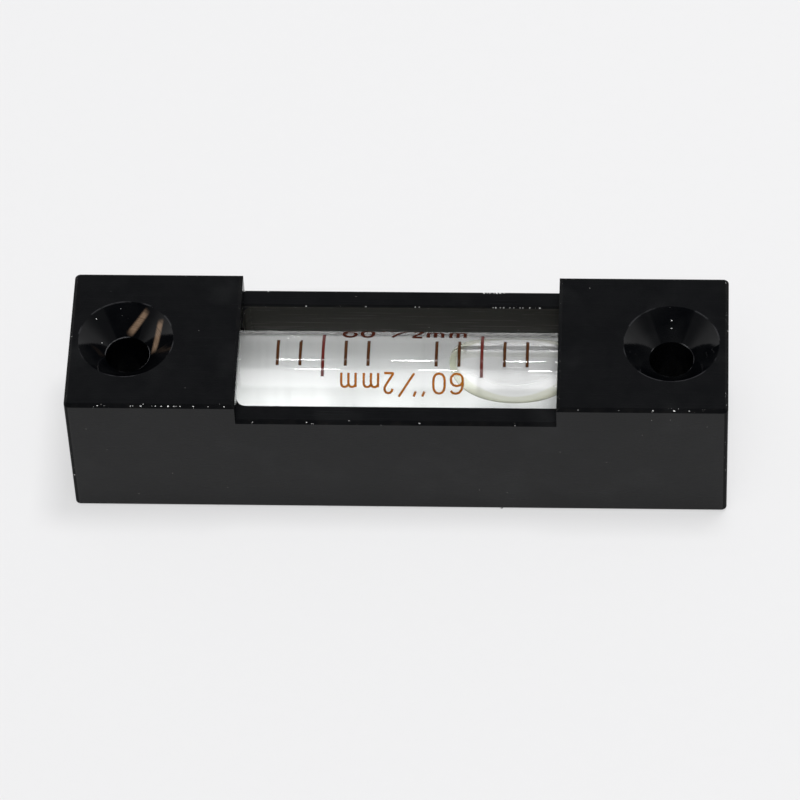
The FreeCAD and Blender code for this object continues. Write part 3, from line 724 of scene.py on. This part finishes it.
# Scale value. The marking 60 seconds for each 2 mm, drawn in single strokes with the same ink as the lines.
# It is printed once on each side of the lines, each to be read from its own side.
# The strokes are laid out flat, and the graduations' tree gives them width and bends them round the tube.
CAP_HEIGHT = 1.77 * MM
STROKE_WIDTH = 0.20 * MM
REAR_STROKE_WIDTH = 0.29 * MM
TEXT_MIDDLE = 0.40 * MM
BASELINE_ANGLE = math.radians(25)
LETTERS = {
    "six": [[(0.60, 0.86), (0.50, 0.97), (0.34, 1.0), (0.18, 0.95), (0.06, 0.80), (0.0, 0.52), (0.0, 0.33),
             (0.03, 0.17), (0.14, 0.04), (0.31, 0.0), (0.46, 0.04), (0.57, 0.16), (0.60, 0.31), (0.57, 0.46),
             (0.46, 0.58), (0.31, 0.62), (0.15, 0.58), (0.04, 0.47), (0.0, 0.33)]],
    "nought": [[(0.28, 1.0), (0.13, 0.96), (0.03, 0.82), (0.0, 0.65), (0.0, 0.35), (0.03, 0.18),
                (0.13, 0.04), (0.28, 0.0), (0.43, 0.04), (0.53, 0.18), (0.56, 0.35), (0.56, 0.65),
                (0.53, 0.82), (0.43, 0.96), (0.28, 1.0)]],
    "seconds": [[(0.0, 0.90), (0.11, 1.16)], [(0.43, 0.90), (0.54, 1.16)]],
    "slash": [[(0.0, 0.0), (0.76, 1.18)]],
    "two": [[(0.02, 0.78), (0.05, 0.90), (0.13, 0.98), (0.24, 1.0), (0.35, 0.96), (0.41, 0.85), (0.41, 0.72),
             (0.34, 0.58), (0.18, 0.33), (0.02, 0.08), (0.0, 0.0), (0.44, 0.0)]],
    "m": [[(0.0, 0.0), (0.0, 0.716)],
          [(0.0, 0.58), (0.06, 0.67), (0.16, 0.71), (0.27, 0.69), (0.34, 0.60), (0.357, 0.50),
           (0.357, 0.0)],
          [(0.357, 0.58), (0.42, 0.67), (0.52, 0.71), (0.63, 0.69), (0.70, 0.60), (0.714, 0.50),
           (0.714, 0.0)]],
}
LINE_OF_TEXT = (
    ("six", 0.075), ("nought", 0.98), ("seconds", 1.98), ("slash", 2.50),
    ("two", 3.55), ("m", 4.29), ("m", 5.41))
TEXT_WIDTH = 6.17


def flat_strokes(name):
    """The letters as flat curves, in metres, with the middle of the text at the origin."""
    curve = bpy.data.curves.new(name, "CURVE")
    curve.dimensions = "3D"
    for letter, start in LINE_OF_TEXT:
        for stroke in LETTERS[letter]:
            spline = curve.splines.new("POLY")
            spline.points.add(len(stroke) - 1)
            for point, (across, up) in zip(spline.points, stroke):
                x = (start + across - TEXT_WIDTH / 2) * CAP_HEIGHT
                point.co = (x, up * CAP_HEIGHT, 0, 1)
    return curve


# The two copies of the text are lit and shaded copies of one red-brown ink: the front one is painted lighter
# orange-brown, the rear one, seen from inside the tube, is painted near black.
front_text_ink = ink("scale value ink, front", (0.34, 0.112, 0.007, 1), (0.21, 0.064, 0.006, 1), 0.45, 0.05)
rear_text_shaded_ink = ink("scale value ink, rear, painted shade", (0.050, 0.012, 0.006, 1), (0.026, 0.007, 0.004, 1), 0.45, 0.0)
for name, side, width, text_ink in (
    ("scale_value_front", -1.0, STROKE_WIDTH, front_text_ink),
    ("scale_value_rear", 1.0, REAR_STROKE_WIDTH, rear_text_shaded_ink),
):
    marking = keep(name, made_by_nodes(name, flat_strokes(name), bent_ink, {
        "Stroke width": width,
        "Ink thickness": INK_THICKNESS,
        "Tube radius": VIAL_RADIUS,
        "Axis height": AXIS_HEIGHT,
        "Middle": TEXT_MIDDLE,
        "Baseline angle": BASELINE_ANGLE,
        "Side": side,
        "Finish": text_ink,
    }))
    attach(marking, "block")


# Nicks, crumbs and painted glints. Knocks have bared specks of bright metal along the edges, and a few crumbs
# of plaster are left on the glass.
# The bright flecks in the countersinks, on the right end wall's edge and at the foot of the right end wall
# are painted glints.
# They are irregular, each partly sunk in its surface.
FRONT_EDGE = [(x, -7.40, 14.40) for x in (
    -26.0, -25.4, -23.1, -22.9, -22.2, -21.2, -20.9, -20.4, -19.8, -19.3, -19.1, -18.75, -17.6, -16.3, -14.9,
    15.95, 19.5, 22.45, 24.3, 25.6)]
REAR_RAIL_BACK = [(x, 7.18, 12.40) for x in (-14.0, -11.9, 7.3, 7.6, 7.85, 8.2, 8.45, 8.75, 9.1)]
REAR_RAIL_FRONT = [(x, 5.62, 12.31) for x in (
    -8.45, -3.15, 1.25, 1.6, 8.15, 8.4, 8.8, 9.1, 9.65, 10.0, 10.55, 10.8, 11.4, 11.9, 12.3)]
# The flecks on the right end wall's edge are painted glints.
STEP_NICKS_AND_GLINTS = [
    (-14.05, -0.9, 14.2), (-14.05, -3.75, 13.0), (14.06, -2.05, 14.22), (14.06, -2.2, 14.17),
    (14.06, -3.15, 14.2), (14.06, -4.62, 14.22), (14.06, -4.74, 14.18), (14.06, -4.86, 14.2)]
FRONT_RAIL = [(-7.8, -7.4, 12.3), (2.1, -7.4, 12.3)]
FRONT_FOOT = [(x, -7.40, 0.1) for x in (-16.2, -6.35, -2.0, 9.05)]
# The flecks in the countersinks are painted glints.
COUNTERSINK_GLINTS = [
    (-24.7, 3.71, 14.07), (-24.6, 3.3, 13.65), (-26.8, 2.53, 14.1), (-26.3, 0.9, 12.75), (-24.9, 4.12, 14.41),
    (24.0, 3.3, 13.6), (24.0, 2.8, 13.1), (23.9, 4.15, 14.41)]
# The crumbs at the foot of the right end wall, near x 13.9, are painted glints.
ON_GLASS = [
    (-9.56, 2.2, 12.41), (-9.5, 2.17, 12.42), (-8.97, 1.97, 12.52), (-9.85, 1.67, 12.65), (-8.77, 1.3, 12.77),
    (-9.3, 1.9, 12.55), (13.86, -0.87, 12.87), (13.9, -0.93, 12.86), (13.95, -1.77, 12.61),
    (13.76, -2.9, 11.96), (13.83, -2.95, 11.92), (13.9, -2.88, 11.98), (13.96, -2.92, 11.95),
    (-13.94, -2.94, 11.93), (-13.77, -2.96, 11.91), (-13.95, -0.91, 12.86)]


def fleck_tree():
    """Points in, one irregular fleck on each out."""
    tree, given, result = open_tree("flecks", ("Smallest", "Largest"), ("Seed",))
    pebble = add(tree, "GeometryNodeMeshIcoSphere", {"Radius": 1.0, "Subdivisions": 2})
    lump = add(tree, "ShaderNodeTexNoise", {"Scale": 1.3, "Detail": 1.0})
    pushed = vector_of(tree, "SUBTRACT", lump.outputs["Color"], (0.5, 0.5, 0.5))
    rough = add(tree, "GeometryNodeSetPosition", {"Geometry": pebble.outputs[0], "Offset": pushed})
    size = add(tree, "FunctionNodeRandomValue", {
        "Min": given["Smallest"],
        "Max": given["Largest"],
        "Seed": given["Seed"],
    }, data_type="FLOAT")
    spread = add(tree, "FunctionNodeRandomValue", {
        0: (0.7, 0.6, 0.5),
        1: (1.7, 1.0, 0.9),
        "Seed": math_of(tree, "ADD", given["Seed"], 1.0),
    }, data_type="FLOAT_VECTOR")
    scale = add(tree, "ShaderNodeVectorMath", {0: spread.outputs[0], 3: size.outputs[1]}, operation="SCALE")
    turned = add(tree, "FunctionNodeRandomValue", {
        0: (-0.5, -0.5, -0.4),
        1: (0.5, 0.5, 0.4),
        "Seed": math_of(tree, "ADD", given["Seed"], 2.0),
    }, data_type="FLOAT_VECTOR")
    placed = add(tree, "GeometryNodeInstanceOnPoints", {
        "Points": add(tree, "GeometryNodeMeshToPoints", {0: given["Geometry"]}).outputs[0],
        "Instance": rough.outputs[0],
        "Rotation": turned.outputs[0],
        "Scale": scale.outputs[0],
    })
    return finish_tree(tree, placed, given, result)


def fleck_material(name, dull, bright, roughness, metallic):
    """A speck's finish, uneven from one to the next."""
    material, tree, output, place = open_material(name)
    uneven = noise(tree, place, 3.0, 2.0, 0.5)
    surface = add(tree, "ShaderNodeBsdfPrincipled", {
        "Base Color": mix(tree, fade(tree, uneven, 0.35, 0.65), dull, bright),
        "Metallic": metallic,
        "Roughness": fade(tree, uneven, 0.3, 0.7, roughness, roughness + 0.15),
    })
    tree.links.new(surface.outputs[0], output.inputs[0])
    return material


flecks = fleck_tree()
bare = fleck_material("bare aluminium nick and painted glint", (0.30, 0.30, 0.30, 1), (0.92, 0.92, 0.91, 1), 0.45, 0.2)
crumb = fleck_material("plaster crumb and painted glint", (0.80, 0.80, 0.79, 1), (0.92, 0.92, 0.90, 1), 0.85, 0.0)
nick_and_glint_places = FRONT_EDGE + REAR_RAIL_BACK + REAR_RAIL_FRONT + STEP_NICKS_AND_GLINTS + FRONT_RAIL + FRONT_FOOT + COUNTERSINK_GLINTS
for name, places, smallest, largest, seed, finish, slot in (
    ("bare_nicks_and_glints", nick_and_glint_places, 0.030, 0.070, 4, bare, "black_anodised"),
    ("plaster_crumbs_and_glints", ON_GLASS, 0.055, 0.085, 9, crumb, "plaster"),
):
    points = bpy.data.meshes.new(name + "_places")
    points.from_pydata([Vector(place) * MM for place in places], [], [])
    specks = keep(name, made_by_nodes(name, points, flecks, {
        "Smallest": smallest * MM,
        "Largest": largest * MM,
        "Seed": seed,
        "Finish": finish,
    }))
    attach(specks, "block")


# Floor. A wide sheet of white card on a light table, so that the block's shadow on it stays soft and pale.
# It lights the block as plain card, and is seen as card with the table's glow added. It is only the stage.
FLOOR_HALF = 3.0
FLOOR_DROP = 0.02 * MM
TABLE_GLOW = 0.575
CARD_DULL = (0.845, 0.85, 0.86, 1)
CARD_BRIGHT = (0.865, 0.87, 0.88, 1)
SEEN_DULL = (0.215, 0.215, 0.217, 1)
SEEN_BRIGHT = (0.225, 0.225, 0.227, 1)
card, tree, output, place = open_material("white card")
fibres = noise(tree, place, 0.8, 4.0, 0.6)
lit = add(tree, "ShaderNodeBsdfDiffuse", {"Color": mix(tree, fibres, CARD_DULL, CARD_BRIGHT)})
pale = add(tree, "ShaderNodeBsdfDiffuse", {"Color": mix(tree, fibres, SEEN_DULL, SEEN_BRIGHT)})
shine = add(tree, "ShaderNodeEmission", {"Color": (1, 1, 1.005, 1), "Strength": TABLE_GLOW})
seen = add(tree, "ShaderNodeAddShader", {0: pale.outputs[0], 1: shine.outputs[0]})
rays = add(tree, "ShaderNodeLightPath").outputs
direct = math_of(tree, "MAXIMUM", rays["Is Camera Ray"], rays["Is Glossy Ray"])
direct = math_of(tree, "MAXIMUM", direct, rays["Is Transmission Ray"])
sheet = add(tree, "ShaderNodeMixShader", {0: direct, 1: lit.outputs[0], 2: seen.outputs[0]})
tree.links.new(sheet.outputs[0], output.inputs[0])
floor_mesh = bpy.data.meshes.new("floor")
corners = [(x * FLOOR_HALF, y * FLOOR_HALF, -FLOOR_DROP) for x, y in ((-1, -1), (1, -1), (1, 1), (-1, 1))]
floor_mesh.from_pydata(corners, [], [(0, 1, 2, 3)])
floor_mesh.materials.append(card)
floor = keep("floor", floor_mesh)


# Light. A pale room, dim above and dark where the photographer stands, with a soft glow above the front.
# A soft lamp a little behind the vertical lights the vial's backing past the rear rail,
# and two rows of strip lamps draw the short bright lines along the glass.
ROOM_LOW = (0.85, 0.85, 0.86, 1)
ROOM_HIGH = (0.26, 0.26, 0.265, 1)
SOFT_LEVEL = 0.77
SOFT_SIZE = (110 * MM, 100 * MM)
SOFT_TO_RIGHT = 60 * MM
SOFT_LEAN = math.radians(6)
GLOW_WAY = (0, -0.407, 0.914)
GLOW = (4.1, 4.1, 4.13, 1)
DARK_WAY = (0, -0.906, 0.423)
DARK = (0.05, 0.05, 0.052, 1)
STRIP_RADIANCE = 34.0
STRIP_LENGTH = 24 * MM
LEAN_BEHIND = math.radians(17)
LEAN_AHEAD = math.radians(-4.8)
STRIPS_BEHIND = ((-42.3 * MM, 8.7 * MM), (-22.6 * MM, 8.0 * MM), (-3.1 * MM, 8.0 * MM))
STRIPS_AHEAD = ((-39.4 * MM, 8.0 * MM), (-18.3 * MM, 7.0 * MM), (-0.4 * MM, 4.5 * MM))
LAMP_AWAY = 500 * MM
world = bpy.data.worlds.new("pale room")
bpy.context.scene.world = world
world.use_nodes = True
tree = world.node_tree
tree.nodes.clear()
way = add(tree, "ShaderNodeTexCoord").outputs["Generated"]
rise = add(tree, "ShaderNodeSeparateXYZ", {0: way}).outputs[2]
room = mix(tree, fade(tree, rise, 0.30, 0.50), ROOM_LOW, ROOM_HIGH)
toward_dark = vector_of(tree, "DOT_PRODUCT", way, DARK_WAY)
room = mix(tree, fade(tree, toward_dark, 0.68, 0.76), room, DARK)
toward_glow = vector_of(tree, "DOT_PRODUCT", way, GLOW_WAY)
room = mix(tree, fade(tree, toward_glow, 0.90, 0.985), room, GLOW)
glow = add(tree, "ShaderNodeBackground", {"Color": room, "Strength": 1.0})
output = tree.nodes.new("ShaderNodeOutputWorld")
tree.links.new(glow.outputs[0], output.inputs[0])


def lamp(name, x, lean, away, size, radiance):
    """A rectangular lamp over the vial, leaning back by lean from the vertical, with that radiance."""
    light = bpy.data.lights.new(name, "AREA")
    light.shape = "ELLIPSE" if name.startswith("strip") else "RECTANGLE"
    light.size = size[0]
    light.size_y = size[1]
    light.energy = radiance * math.pi * size[0] * size[1]
    lamp_object = bpy.data.objects.new(name, light)
    over = Vector((0, math.sin(lean), math.cos(lean)))
    place = Vector((x, 0, 12 * MM)) + away * over
    lamp_object.matrix_world = Matrix.Translation(place) @ over.to_track_quat("Z", "Y").to_matrix().to_4x4()
    bpy.context.scene.collection.objects.link(lamp_object)
    return lamp_object


def radiance_for(level, lean, away, size):
    """The radiance at which a lamp alone would show white card at that level."""
    return level * math.pi * away ** 2 / (size[0] * size[1] * math.cos(lean))


soft_radiance = radiance_for(SOFT_LEVEL, SOFT_LEAN, LAMP_AWAY, SOFT_SIZE)
soft = lamp("soft lamp", SOFT_TO_RIGHT, SOFT_LEAN, LAMP_AWAY, SOFT_SIZE, soft_radiance)
soft.visible_glossy = False
for row, lean, strips in (("behind", LEAN_BEHIND, STRIPS_BEHIND), ("ahead", LEAN_AHEAD, STRIPS_AHEAD)):
    for index, (x, width) in enumerate(strips):
        lamp(f"strip {row} {index + 1}", x, lean, LAMP_AWAY, (width, STRIP_LENGTH), STRIP_RADIANCE)


# Camera. It looks down at 52 degrees from the front, a little turned, from about half a metre.
# Its place, turn and lens were fitted to the block's edges, the steps and the vial in the photograph.
FOCAL_PIXELS = 5748.408
PICTURE_WIDTH = 800
SENSOR_WIDTH = 36
YAW = -0.0813579
PITCH = 0.9079338
ROLL = -0.0550743
AIM = Vector((-0.0469588 * MM, -0.7068980 * MM, 7.0 * MM))
DISTANCE = 510.3335 * MM
forward = Vector((math.sin(YAW) * math.cos(PITCH), math.cos(YAW) * math.cos(PITCH), -math.sin(PITCH)))
right = Vector((math.cos(YAW), -math.sin(YAW), 0))
up = right.cross(forward)
rolled_right = math.cos(ROLL) * right + math.sin(ROLL) * up
rolled_up = math.cos(ROLL) * up - math.sin(ROLL) * right
camera_data = bpy.data.cameras.new("camera")
camera_data.sensor_width = SENSOR_WIDTH
camera_data.lens = FOCAL_PIXELS / PICTURE_WIDTH * SENSOR_WIDTH
camera_data.clip_start = 0.01
camera = bpy.data.objects.new("camera", camera_data)
turn = Matrix((rolled_right, rolled_up, -forward)).transposed()
camera.matrix_world = Matrix.Translation(AIM - DISTANCE * forward) @ turn.to_4x4()
bpy.context.scene.collection.objects.link(camera)
bpy.context.scene.camera = camera
bpy.context.scene.view_settings.view_transform = "Standard"
